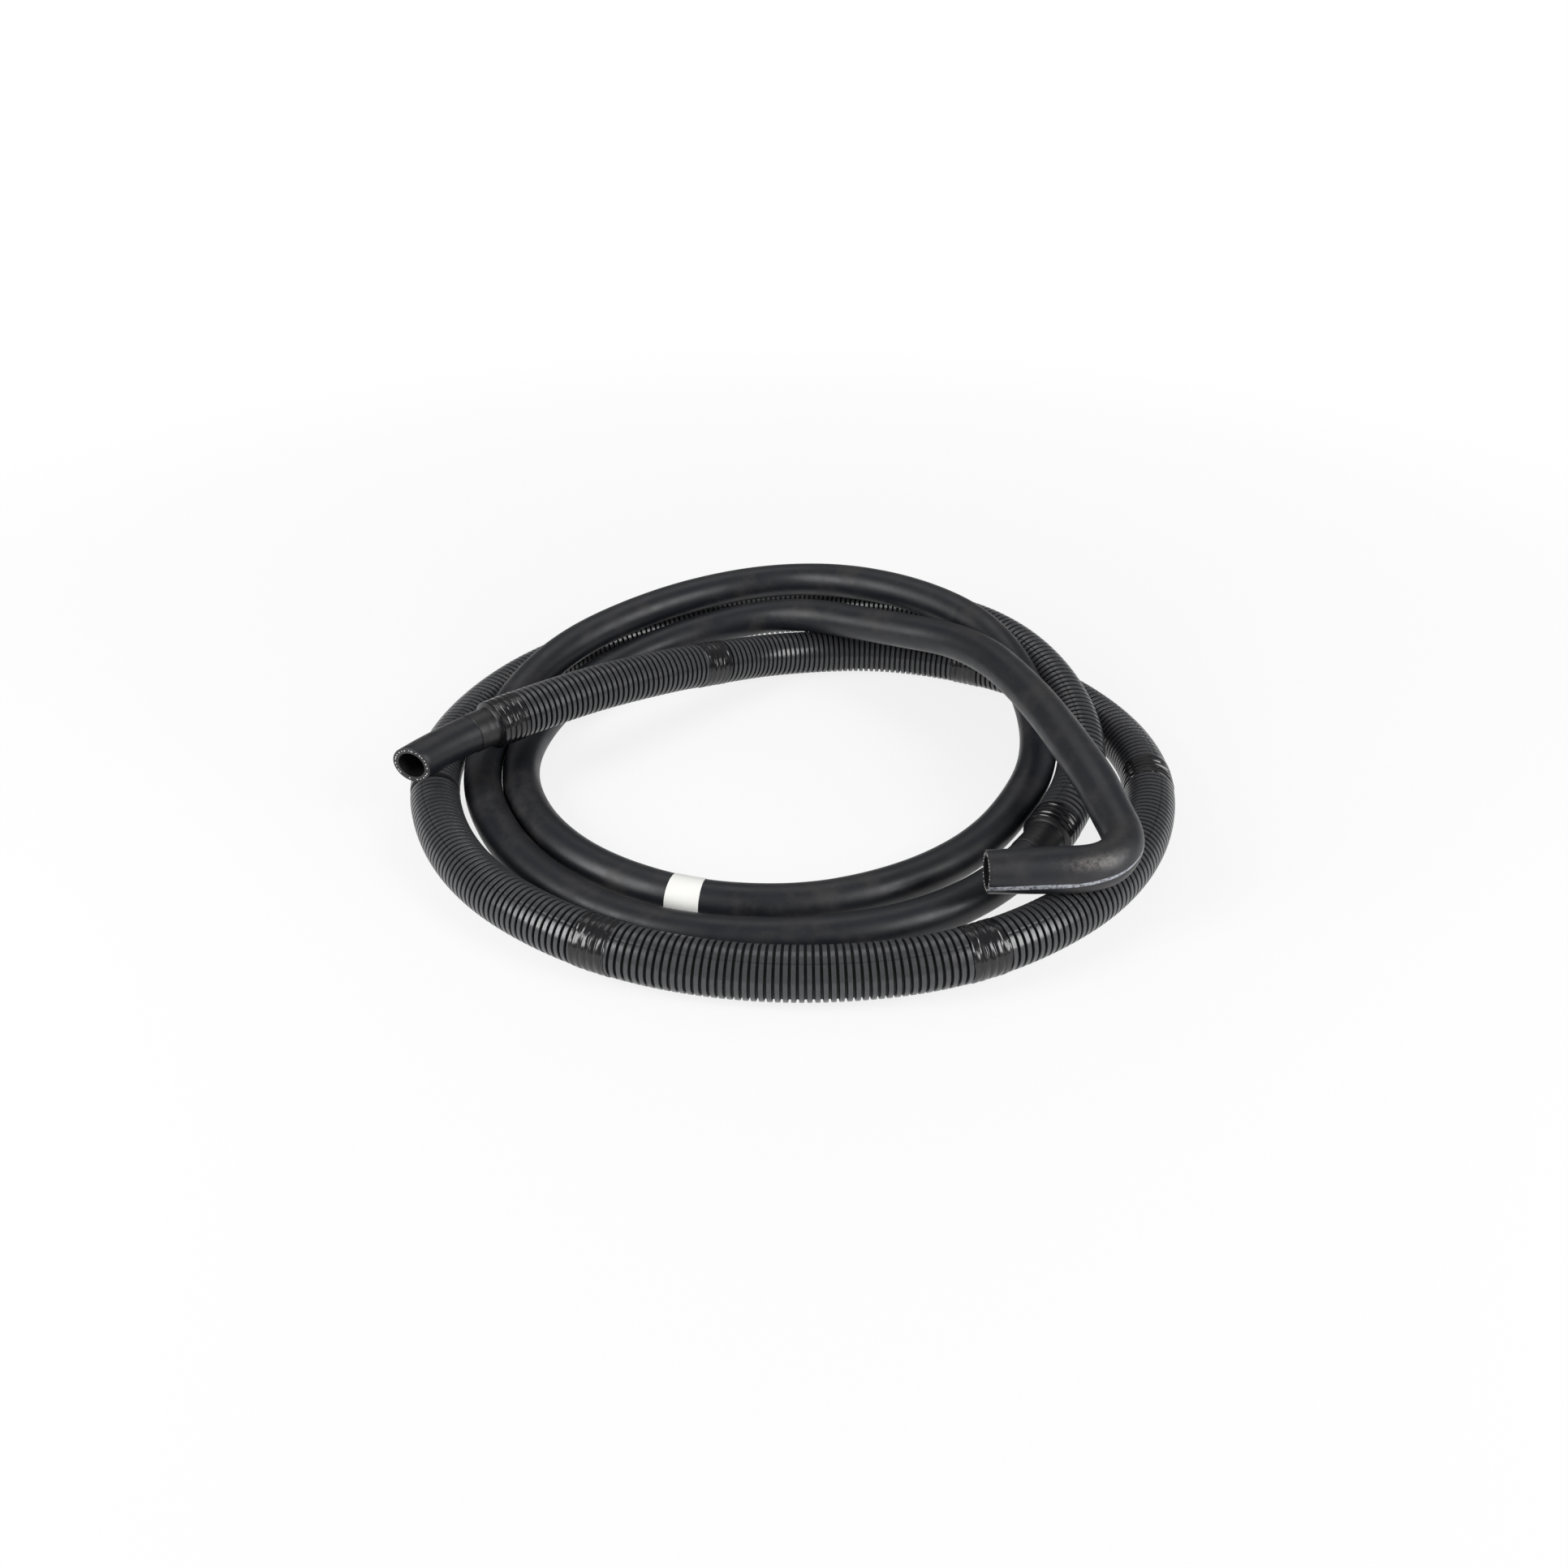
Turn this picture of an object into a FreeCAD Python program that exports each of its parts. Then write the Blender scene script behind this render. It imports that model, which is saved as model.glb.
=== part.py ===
"""A pool vacuum hose, coiled on the floor in four loops.

One long rubber hose carries two ribbed split sleeves over its first half, held by bands of black tape,
and a white marker band further on. Both ends stay open: end A stands up at the left, and end B turns
through a tight elbow and points back into the coil.
Millimetres, +Z up, with the origin on the floor under the middle of the coil.
"""
import FreeCAD
import Part
import math
import os

Vector = FreeCAD.Vector
UP = Vector(0, 0, 1)

# Sizes, each set by itself. The second column is what each one is.
SIZES = [
    ("hose_radius", 13.5, "outside of the hose"),
    ("bore_radius", 9.5, "bore of the hose"),
    ("hose_sides", 8, "facets of the hose in the coil"),
    ("bore_sides", 6, "facets of the bore in the coil"),
    ("bore_step", 42.0, "distance between two sections of the bore"),
    ("elbow_step", 9.0, "the same distance in the elbow"),
    ("stub_length", 27.0, "straight round run at each open end"),
    ("floor_cut", 2.7, "depth of the flat that the hose stands on"),
    ("coil_spread", 1.0, "how far the loops spread from the middle"),
    ("elbow_radius", 24.0, "centreline radius of the elbow at end B"),
    ("sleeve_sides", 8, "facets of the sleeves and tapes"),
    ("sleeve_slack", 1.55, "room between the hose and a sleeve"),
    ("sleeve_wall", 0.7, "plastic under the grooves"),
    ("rib_height", 1.55, "height of a rib over its groove"),
    ("rib_pitch", 36.0, "distance from rib to rib"),
    ("sleeve_start", 79.0, "from mouth A to sleeve A"),
    ("sleeve_a_length", 1339.0, "sleeve A along the hose"),
    ("sleeve_gap", 5.0, "between the two sleeves"),
    ("sleeve_b_length", 858.0, "sleeve B along the hose"),
    ("tape_slack", 0.2, "room between a tape and the ribs"),
    ("tape_thickness", 0.35, "wound thickness of a tape"),
    ("tape_width", 25.0, "width of a tape"),
    ("tape_neck", 7.0, "length in which an end tape comes down to the hose"),
    ("start_tape_on_hose", 17.0, "reach of the tape at sleeve A's start over the bare hose"),
    ("start_tape_on_sleeve", 23.0, "reach of the same tape over the sleeve"),
    ("end_tape_on_hose", 26.0, "reach of the tape at sleeve B's end over the bare hose"),
    ("end_tape_on_sleeve", 32.0, "reach of the same tape over the sleeve"),
    ("marker_distance", 3818.0, "from mouth A to the middle of the marker band"),
    ("marker_width", 21.0, "width of the marker band"),
    ("marker_thickness", 0.4, "thickness of the marker band"),
    ("marker_sides", 16, "facets of the marker band"),
]

# The route of the hose from mouth A to mouth B, clockwise seen from above, about the middle of the
# loops. It was chosen for a hose of this diameter and grows with the hose.
ROUTE_DIAMETER = 27.0
# From mouth A to the left of the loops: X, Y and height over the floor.
END_A = [(-253.5, -63.0, 56.5), (-210.0, -9.5, 54.0), (-147.5, 48.0, 49.5), (-94.5, 92.0, 41.0)]
# One row each thirty degrees of turn from just before the back: distance from the middle, and how far
# the hose or its sleeve is lifted from where it would rest on the floor.
FIRST_ANGLE = -30.0
ROW_ANGLE = 30.0
ROWS = [
    (133.0, 17.0), (157.5, 2.0), (191.5, 0.5), (232.0, 0.3), (259.5, 1.5), (259.5, 4.0),
    (245.0, 5.0), (230.0, 1.0), (233.5, 1.5), (245.0, 1.0), (253.0, 0.0), (243.5, 0.0),
    (229.0, 1.5), (228.0, 4.0), (216.0, 31.5), (219.1, 34.5), (218.2, 13.0), (200.0, 5.0),
    (195.5, 0.5), (192.5, 0.5), (199.0, 0.0), (209.5, 1.0), (220.0, 10.0), (216.5, 25.0),
    (212.5, 36.5), (217.0, 45.0), (192.5, 61.0), (189.0, 53.5), (185.0, 21.0), (166.0, 2.0),
    (157.5, 0.5), (159.5, 3.0), (169.5, 4.0), (180.0, 2.0), (192.2, 0.5), (195.0, 5.0),
    (193.2, 14.5), (180.0, 34.5), (155.0, 44.5), (160.0, 59.5),
]
# Rows from this one up to the end row lie in the sleeves, and so rest higher.
FIRST_SLEEVE_ROW = 0
END_SLEEVE_ROW = 16
# From the last row to the elbow, the elbow's corner and mouth B.
END_B = [(175.0, 5.0, 71.0), (202.0, -94.5, 66.0)]
ELBOW_CORNER = (215.5, -166.5, 55.5)
MOUTH_B = (124.0, -179.5, 55.5)

# Tapes on the sleeves: name and distance of the middle from mouth A.
SLEEVE_TAPES = [
    ("tape_back", 277.0),
    ("tape_back_right", 500.0),
    ("tape_right", 709.0),
    ("tape_front_right", 953.0),
    ("tape_front_left", 1208.0),
]

os.makedirs("parts", exist_ok=True)
doc = FreeCAD.newDocument("VacuumHose")

sheet = doc.addObject("Spreadsheet::Sheet", "Sizes")
size = {}
for line, (word, value, meaning) in enumerate(SIZES, start=1):
    sheet.set("A%d" % line, word)
    sheet.set("B%d" % line, str(value))
    sheet.set("C%d" % line, meaning)
    sheet.setAlias("B%d" % line, word)
doc.recompute()
for word, value, meaning in SIZES:
    size[word] = float(getattr(sheet, word))


def corner_factor(sides):
    """Corner radius of a polygon whose area is that of a circle of radius 1."""
    return math.sqrt(2 * math.pi / (sides * math.sin(2 * math.pi / sides)))


def flat_factor(sides):
    """Distance from the middle of that polygon to its flats."""
    return corner_factor(sides) * math.cos(math.pi / sides)


# Radii that follow from the sizes. A sleeve clears the corners of the hose inside it.
hose_corner = size["hose_radius"] * corner_factor(size["hose_sides"])
sleeve_corner = corner_factor(size["sleeve_sides"])
sleeve_flat = flat_factor(size["sleeve_sides"])
sleeve_bore = (hose_corner + size["sleeve_slack"]) / sleeve_corner
groove_radius = sleeve_bore + size["sleeve_wall"]
crest_radius = groove_radius + size["rib_height"]
tape_bore = crest_radius + size["tape_slack"]
tape_radius = tape_bore + size["tape_thickness"]
# The hose stands on its flat, and the sleeves on the flats of their tapes.
hose_rest = hose_corner - size["floor_cut"]
sleeve_rest = tape_radius * sleeve_flat
scale = 2 * size["hose_radius"] / ROUTE_DIAMETER
spread = scale * size["coil_spread"]


def route_nodes():
    """Points and directions of the route. The runs at both ends and through the elbow are given."""
    points = [Vector(x * spread, y * spread, z * scale) for x, y, z in END_A]
    for number, (radius, lift) in enumerate(ROWS):
        angle = math.radians(FIRST_ANGLE + ROW_ANGLE * number)
        in_sleeve = FIRST_SLEEVE_ROW <= number <= END_SLEEVE_ROW
        rest = sleeve_rest if in_sleeve else hose_rest
        across = radius * spread
        points.append(Vector(across * math.sin(angle), across * math.cos(angle), rest + lift * scale))
    points += [Vector(x * spread, y * spread, z * scale) for x, y, z in END_B]
    corner = Vector(ELBOW_CORNER[0] * spread, ELBOW_CORNER[1] * spread, ELBOW_CORNER[2] * scale)
    mouth_b = Vector(MOUTH_B[0] * spread, MOUTH_B[1] * spread, MOUTH_B[2] * scale)

    # The first run is straight, so its far end is a point of its own.
    first = (points[1] - points[0]).normalize()
    points.insert(1, points[0] + first * size["stub_length"])
    directions = [first, first]
    for before, here, after in zip(points[1:], points[2:], points[3:] + [corner]):
        back = here - before
        ahead = after - here
        directions.append((back / back.Length ** 2 + ahead / ahead.Length ** 2).normalize())

    into = (corner - points[-1]).normalize()
    away = (mouth_b - corner).normalize()
    setback = size["elbow_radius"] * math.tan(into.getAngle(away) / 2)
    points += [corner - into * setback, corner + away * setback, mouth_b]
    directions += [into, away, away]
    return points, directions


def bend(start, corner, end):
    """The arc that touches both legs of a corner whose legs are equal, or a line if there is none."""
    middle = (start + end) / 2
    half = (end - start).Length / 2
    depth = (corner - middle).Length
    if depth < 1e-6:
        return Part.LineSegment(start, end).toShape()
    turn = math.atan2(depth, half)
    rise = half * math.tan(turn / 2)
    return Part.Arc(start, middle + (corner - middle) * (rise / depth), end).toShape()


def two_bends(start, leaving, end, arriving):
    """Two arcs from one point to the next that keep to the direction at each."""
    chord = end - start
    total = leaving + arriving
    openness = 1 - leaving.dot(arriving)
    if openness < 1e-9:
        leg = chord.dot(chord) / (2 * chord.dot(total))
    else:
        along = chord.dot(total)
        leg = (math.sqrt(along ** 2 + 2 * openness * chord.dot(chord)) - along) / (2 * openness)
    first = start + leaving * leg
    second = end - arriving * leg
    middle = (first + second) / 2
    return [bend(start, first, middle), bend(middle, second, end)]


def route_edges():
    points, directions = route_nodes()
    edges = [Part.LineSegment(points[0], points[1]).toShape()]
    for number in range(1, len(points) - 2):
        edges += two_bends(points[number], directions[number], points[number + 1], directions[number + 1])
    run = (points[-1] - points[-2]).normalize() * size["stub_length"]
    edges.append(Part.LineSegment(points[-2], points[-1] - run).toShape())
    edges.append(Part.LineSegment(points[-1] - run, points[-1]).toShape())
    return edges


edges = route_edges()
ends = [0.0]
for edge in edges:
    ends.append(ends[-1] + edge.Length)
hose_length = ends[-1]


def place(distance):
    """The point of the route at a distance from mouth A, and its direction there."""
    number = 0
    while number < len(edges) - 1 and ends[number + 1] < distance:
        number += 1
    edge = edges[number]
    inside = min(max(distance - ends[number], 0.0), edge.Length)
    where = edge.getParameterByLength(inside)
    return edge.valueAt(where), edge.tangentAt(where)


sleeve_b_start = size["sleeve_start"] + size["sleeve_a_length"] + size["sleeve_gap"]
sleeve_b_end = sleeve_b_start + size["sleeve_b_length"]


def outer_radius(distance):
    """How far the object reaches from the route at a distance from mouth A."""
    if size["sleeve_start"] < distance < sleeve_b_end:
        return crest_radius
    return size["hose_radius"]


# The origin lies under the middle of the box round the whole coil.
samples = [step * 4.0 for step in range(int(hose_length / 4.0) + 1)]
reach = [(place(distance)[0], outer_radius(distance)) for distance in samples]
left = min(point.x - radius for point, radius in reach)
right = max(point.x + radius for point, radius in reach)
front = min(point.y - radius for point, radius in reach)
back = max(point.y + radius for point, radius in reach)
to_origin = Vector(-(left + right) / 2, -(front + back) / 2, 0)
for edge in edges:
    edge.translate(to_origin)


def upright(distance, sides=None):
    """A placement at a distance along the route, square to it. With sides, one flat faces down."""
    point, along = place(distance)
    side = along.cross(UP).normalize()
    down = along.cross(side).normalize()
    if down.z > 0:
        down = down * -1
    turn = math.pi / sides if sides else 0.0
    first = down * math.cos(turn) + side * math.sin(turn)
    third = along
    second = third.cross(first)
    matrix = FreeCAD.Matrix(
        first.x, second.x, third.x, point.x,
        first.y, second.y, third.y, point.y,
        first.z, second.z, third.z, point.z,
        0, 0, 0, 1)
    return FreeCAD.Placement(matrix)


def carried(distance, sides, middle):
    """The upright placement at the middle of a short band, turned with the route to a distance near it."""
    point, along = place(distance)
    turn = FreeCAD.Rotation(place(middle)[1], along)
    return FreeCAD.Placement(point, turn.multiply(upright(middle, sides).Rotation))


def polygon(name, sides, radius, distance, middle=None):
    """A polygon across the route. Its corners lie outside the circle that has its area."""
    count = size[sides[6:]]
    section = doc.addObject("Part::RegularPolygon", name)
    section.setExpression("Polygon", sides)
    section.setExpression("Circumradius", "(%s) * %.9f * 1mm" % (radius, corner_factor(count)))
    section.Placement = upright(distance, count) if middle is None else carried(distance, count, middle)
    return section


def ruled(name, sections, closed=True):
    """A loft through the sections, straight from each to the next, with its ends closed or open."""
    loft = doc.addObject("Part::Loft", name)
    loft.Sections = sections
    loft.Solid = closed
    loft.Ruled = True
    return loft


def tube(label, outer, inner):
    """A tube along the route, from the sections of its outside and those of its inside."""
    outside = ruled(label + "_outside", outer, closed=False)
    inside = ruled(label + "_inside", inner, closed=False)
    doc.recompute()
    faces = outside.Shape.Faces + inside.Shape.Faces
    for end in (0, -1):
        wires = [outer[end].Shape.Wires[0], inner[end].Shape.Wires[0]]
        faces.append(Part.makeFace(wires, "Part::FaceMakerBullseye"))
    shell = Part.Shell(faces)
    shell.sewShape()
    solid = Part.Solid(shell)
    if solid.Volume < 0:
        solid.reverse()
    piece = doc.addObject("Part::Feature", label)
    piece.Shape = solid
    piece.Label = label
    return piece


def cut(name, base, tool, label=None):
    result = doc.addObject("Part::Cut", name)
    result.Base = base
    result.Tool = tool
    result.Label = label or name
    return result


# Radii as the sheet knows them, so that every polygon follows its cells.
HOSE_SIDES = "Sizes.hose_sides"
BORE_SIDES = "Sizes.bore_sides"
SLEEVE_SIDES = "Sizes.sleeve_sides"
MARKER_SIDES = "Sizes.marker_sides"
SLEEVE_BORE = "(Sizes.hose_radius * %.9f + Sizes.sleeve_slack) / %.9f" % (
    corner_factor(size["hose_sides"]), sleeve_corner)
GROOVE = SLEEVE_BORE + " + Sizes.sleeve_wall"
CREST = GROOVE + " + Sizes.rib_height"
TAPE_BORE = CREST + " + Sizes.tape_slack"
TAPE_OUTSIDE = TAPE_BORE + " + Sizes.tape_thickness"
# A tape or band on the bare hose clears the corners of the hose with its flats.
ON_HOSE = "(Sizes.hose_radius * %.9f + Sizes.tape_slack) / %.9f" % (
    corner_factor(size["hose_sides"]), sleeve_flat)
MARKER_BORE = "(Sizes.hose_radius * %.9f + Sizes.tape_slack) / %.9f" % (
    corner_factor(size["hose_sides"]), flat_factor(size["marker_sides"]))


def bore_marks():
    """Distances of the bore's sections: even along the coil, and closer together in the elbow."""
    first = size["stub_length"]
    elbow_start = ends[-5]
    elbow_end = ends[-3]
    marks = [first]
    for begin, end, step in (
            (first, elbow_start, size["bore_step"]),
            (elbow_start, elbow_end, size["elbow_step"]),
            (elbow_end, hose_length - first, size["bore_step"])):
        count = int(math.ceil((end - begin) / step))
        marks += [begin + (end - begin) * number / count for number in range(1, count + 1)]
    return marks


def make_hose():
    """One unbroken tube with its bore: round at both ends, and many-sided between them."""
    path = doc.addObject("Part::Feature", "route")
    path.Shape = Part.Wire(edges[1:-1])
    stub = size["stub_length"]
    section = polygon("hose_section", HOSE_SIDES, "Sizes.hose_radius", stub)
    coil = doc.addObject("Part::Sweep", "coil")
    coil.Sections = [section]
    coil.Spine = (path, [])
    coil.Solid = True
    coil.Frenet = False

    pieces = [coil]
    for name, distance in (("stub_a", 0.0), ("stub_b", hose_length - stub)):
        piece = doc.addObject("Part::Cylinder", name)
        piece.setExpression("Radius", "Sizes.hose_radius * 1mm")
        piece.setExpression("Height", "Sizes.stub_length * 1mm")
        piece.Placement = upright(distance)
        pieces.append(piece)
    outside = doc.addObject("Part::MultiFuse", "hose_outside")
    outside.Shapes = pieces

    rings = [polygon("bore_section", BORE_SIDES, "Sizes.bore_radius", distance) for distance in bore_marks()]
    bores = [ruled("coil_bore", rings)]
    for name, distance in (("bore_a", 0.0), ("bore_b", hose_length - stub)):
        piece = doc.addObject("Part::Cylinder", name)
        piece.setExpression("Radius", "Sizes.bore_radius * 1mm")
        piece.setExpression("Height", "Sizes.stub_length * 1mm")
        piece.Placement = upright(distance)
        bores.append(piece)
    inside = doc.addObject("Part::MultiFuse", "hose_inside")
    inside.Shapes = bores
    hollow = cut("hose_tube", outside, inside)

    # The floor takes the underside off.
    floor = doc.addObject("Part::Box", "floor")
    floor.setExpression("Length", "Sizes.hose_radius * 60mm")
    floor.setExpression("Width", "Sizes.hose_radius * 60mm")
    floor.setExpression("Height", "Sizes.hose_radius * 1mm")
    floor.Placement.Base = Vector(-30 * size["hose_radius"], -30 * size["hose_radius"], -size["hose_radius"])
    return cut("hose_on_floor", hollow, floor, "hose")


def rib_marks(start, length):
    """Distances and radii of a sleeve's sections: each rib is a groove, a rise, a crest and a fall."""
    count = int(round(length / size["rib_pitch"]))
    pitch = length / count
    marks = [(start, GROOVE)]
    for number in range(count):
        begin = start + number * pitch
        marks.append((begin + 0.15 * pitch, GROOVE))
        marks.append((begin + 0.25 * pitch, CREST))
        marks.append((begin + 0.75 * pitch, CREST))
        marks.append((begin + 0.85 * pitch, GROOVE))
    marks.append((start + length, GROOVE))
    return marks, count, pitch


def make_sleeve(label, start, length):
    marks, count, pitch = rib_marks(start, length)
    rings = [polygon("rib_section", SLEEVE_SIDES, radius, distance) for distance, radius in marks]
    # The bore has a section in the middle of each groove and of each crest, so it keeps inside the wall.
    stations = [start + step * pitch / 2 for step in range(2 * count + 1)]
    holes = [polygon("sleeve_hole", SLEEVE_SIDES, SLEEVE_BORE, distance) for distance in stations]
    return tube(label, rings, holes)


def make_band(label, marks, sides):
    """A ring along the route. Each mark is a distance, an inner radius and an outer one."""
    middle = (marks[0][0] + marks[-1][0]) / 2
    outer = []
    inner = []
    for distance, inside, outside in marks:
        outer.append(polygon(label + "_outer", sides, outside, distance, middle))
        inner.append(polygon(label + "_inner", sides, inside, distance, middle))
    return tube(label, outer, inner)


def marks_between(begin, end, sleeve):
    """The sleeve's own sections under a tape, so that the tape follows its flats."""
    return [distance for distance, radius in sleeve if begin + 0.5 < distance < end - 0.5]


def make_sleeve_tape(label, middle, sleeve):
    begin = middle - size["tape_width"] / 2
    end = middle + size["tape_width"] / 2
    stations = [begin] + marks_between(begin, end, sleeve) + [end]
    return make_band(label, [(distance, TAPE_BORE, TAPE_OUTSIDE) for distance in stations], SLEEVE_SIDES)


def make_end_tape(label, sleeve_end, forward, on_hose, on_sleeve, sleeve):
    """A tape over a sleeve's end, necked down to the bare hose. Forward is 1 where the hose comes first."""
    outside = ON_HOSE + " + Sizes.tape_thickness"
    hose_end = sleeve_end - forward * on_hose
    neck_end = sleeve_end - forward * (size["tape_neck"] + 0.5)
    sleeve_reach = sleeve_end + forward * on_sleeve
    low, high = sorted((sleeve_end, sleeve_reach))
    marks = [(hose_end, ON_HOSE, outside), (neck_end, ON_HOSE, outside)]
    marks.append((sleeve_end - forward * 0.5, TAPE_BORE, TAPE_OUTSIDE))
    marks += [(distance, TAPE_BORE, TAPE_OUTSIDE) for distance in marks_between(low, high, sleeve)]
    marks.append((sleeve_reach, TAPE_BORE, TAPE_OUTSIDE))
    return make_band(label, sorted(marks), SLEEVE_SIDES)


def make_marker():
    outside = MARKER_BORE + " + Sizes.marker_thickness"
    middle = size["marker_distance"]
    half = size["marker_width"] / 2
    stations = [middle - half, middle, middle + half]
    return make_band("marker_band", [(distance, MARKER_BORE, outside) for distance in stations], MARKER_SIDES)


sleeve_a_marks = rib_marks(size["sleeve_start"], size["sleeve_a_length"])[0]
sleeve_b_marks = rib_marks(sleeve_b_start, size["sleeve_b_length"])[0]
pieces = [
    make_hose(),
    make_sleeve("guard_sleeve_a", size["sleeve_start"], size["sleeve_a_length"]),
    make_sleeve("guard_sleeve_b", sleeve_b_start, size["sleeve_b_length"]),
    make_end_tape("tape_end_a", size["sleeve_start"], 1,
                  size["start_tape_on_hose"], size["start_tape_on_sleeve"], sleeve_a_marks),
]
for label, middle in SLEEVE_TAPES:
    pieces.append(make_sleeve_tape(label, middle, sleeve_a_marks))
pieces.append(make_end_tape("tape_sleeve_end", sleeve_b_end, -1,
                            size["end_tape_on_hose"], size["end_tape_on_sleeve"], sleeve_b_marks))
pieces.append(make_marker())
doc.recompute()

for item in doc.Objects:
    if "Invalid" in item.State or "Error" in item.State:
        raise RuntimeError("%s did not build: %s" % (item.Name, item.State))
for piece in pieces:
    if piece.Shape.isNull() or not piece.Shape.isValid() or len(piece.Shape.Solids) != 1:
        raise RuntimeError("%s is not one valid solid" % piece.Label)


def report_route():
    """Print the length, the tightest bends and the least gap of the hose to itself."""
    bends = sorted(edge.Curve.Radius for edge in edges if hasattr(edge.Curve, "Radius"))
    print("hose length %.0f mm, tightest bends %s" % (hose_length, ["%.0f" % value for value in bends[:6]]))
    count = int(hose_length / 5.0)
    marks = [number * hose_length / count for number in range(count + 1)]
    points = [place(distance)[0] for distance in marks]
    radii = [hose_corner if outer_radius(distance) < crest_radius else tape_radius for distance in marks]
    least = None
    for here in range(len(marks)):
        for there in range(here + 30, len(marks)):
            offset = points[here] - points[there]
            if abs(offset.x) > 45 or abs(offset.y) > 45 or abs(offset.z) > 45:
                continue
            room = offset.Length - radii[here] - radii[there]
            if least is None or room < least[0]:
                least = (room, marks[here], marks[there])
    print("least gap of the coil to itself %.2f mm, at %.0f and %.0f mm from mouth A" % least)


report_route()
section_area = math.pi * (size["hose_radius"] ** 2 - size["bore_radius"] ** 2)
print("hose volume %.0f of %.0f mm3 before the floor cut" % (
    doc.getObject("hose_tube").Shape.Volume, section_area * hose_length))
for piece in pieces:
    box = piece.Shape.BoundBox
    print("%-18s faces %4d volume %9.0f x %.1f..%.1f y %.1f..%.1f z %.2f..%.2f" % (
        piece.Label, len(piece.Shape.Faces), piece.Shape.Volume,
        box.XMin, box.XMax, box.YMin, box.YMax, box.ZMin, box.ZMax))
    piece.Shape.exportStep("parts/%s.step" % piece.Label)
for name, distance, sign in (("A", 0.0, -1), ("B", hose_length, 1)):
    point, along = place(distance)
    print("mouth %s at %.3f %.3f %.3f, opening towards %.5f %.5f %.5f" % (
        name, point.x, point.y, point.z, along.x * sign, along.y * sign, along.z * sign))
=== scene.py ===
"""A coiled rubber hose with two ribbed guard sleeves, tape bands and a marker band, on a pale floor.

The scene is in metres, +Z up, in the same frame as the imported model. The named sizes are in millimetres.
The hose follows one smooth spline, and everything on it is built along points read from that spline.
A distance is measured along the hose from mouth A. An angle round the hose is in radians: 0 is up, and a
quarter turn is to the right of travel.
"""

import math

import bpy
import numpy as np
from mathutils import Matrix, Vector

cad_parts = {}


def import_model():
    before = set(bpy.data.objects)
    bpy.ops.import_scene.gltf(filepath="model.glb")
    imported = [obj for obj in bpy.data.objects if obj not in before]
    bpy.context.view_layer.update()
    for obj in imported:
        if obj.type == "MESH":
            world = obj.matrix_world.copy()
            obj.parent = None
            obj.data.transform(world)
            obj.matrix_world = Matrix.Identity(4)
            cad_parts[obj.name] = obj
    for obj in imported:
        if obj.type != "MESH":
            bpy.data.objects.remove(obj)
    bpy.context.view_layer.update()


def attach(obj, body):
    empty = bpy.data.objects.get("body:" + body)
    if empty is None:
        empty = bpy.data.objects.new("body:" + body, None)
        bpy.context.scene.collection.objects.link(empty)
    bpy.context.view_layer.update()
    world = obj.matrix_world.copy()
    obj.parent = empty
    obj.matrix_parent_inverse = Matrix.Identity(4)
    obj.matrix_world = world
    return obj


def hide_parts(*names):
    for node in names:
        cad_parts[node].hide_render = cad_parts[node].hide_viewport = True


MM = 0.001
TURN = 2 * math.pi
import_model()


# The route.

# Where the middle of the loops lies in this frame.
RING_CENTRE = (-3.77, 1.12)
# The route's points. From mouth A to the left of the loops: X, Y and height.
END_A = [
    (-253.5, -64.4, 57.3), (-238.8, -40.7, 56.9), (-197.1, 4.2, 54.3), (-145.3, 50.6, 50.1),
    (-92.0, 93.9, 41.0),
]
# One row each thirty degrees of turn, clockwise from just before the back: distance from the middle of
# the loops and height. The spline runs a little inside these points.
FIRST_ANGLE = -30.0
ROW_ANGLE = 30.0
ROWS = [
    (133.1, 34.2), (164.8, 18.4), (198.5, 17.8), (243.9, 17.8), (272.8, 18.7), (269.9, 22.7),
    (254.3, 23.0), (235.5, 17.8), (240.9, 19.6), (254.7, 18.9), (263.0, 17.8), (252.6, 17.8),
    (233.7, 21.0), (239.4, 17.8), (219.8, 50.8), (224.5, 54.0), (227.6, 29.5), (205.2, 15.7),
    (202.3, 14.4), (197.9, 13.7), (208.5, 13.5), (215.7, 14.0), (230.3, 15.5), (224.2, 40.4),
    (220.1, 50.9), (228.5, 58.5), (198.7, 74.9), (195.5, 70.6), (195.0, 31.2), (170.4, 13.8),
    (162.1, 13.5), (164.1, 13.6), (172.9, 14.0), (187.7, 14.9), (201.8, 13.8), (201.4, 18.4),
    (200.1, 25.6), (189.0, 45.8), (155.8, 58.4), (166.2, 72.2),
]
# From the last row round the elbow to mouth B.
END_B = [
    (177.8, 7.9, 72.6), (202.6, -92.8, 69.7), (208.2, -122.8, 64.2), (214.6, -150.5, 58.6),
    (206.0, -167.0, 56.9), (191.5, -176.3, 56.0), (166.0, -177.6, 55.4), (123.8, -178.6, 55.0),
]
# Steps of the spline between two of its points.
ROUTE_FINENESS = 40
# A direction on the route is taken over this reach, ahead and behind.
DIRECTION_REACH = 2.5


def route_points():
    """The spline's points in this frame, in metres."""
    points = list(END_A)
    for number, (radius, height) in enumerate(ROWS):
        angle = math.radians(FIRST_ANGLE + ROW_ANGLE * number)
        points.append((radius * math.sin(angle), radius * math.cos(angle), height))
    points += END_B
    return [((x + RING_CENTRE[0]) * MM, (y + RING_CENTRE[1]) * MM, z * MM) for x, y, z in points]


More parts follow.
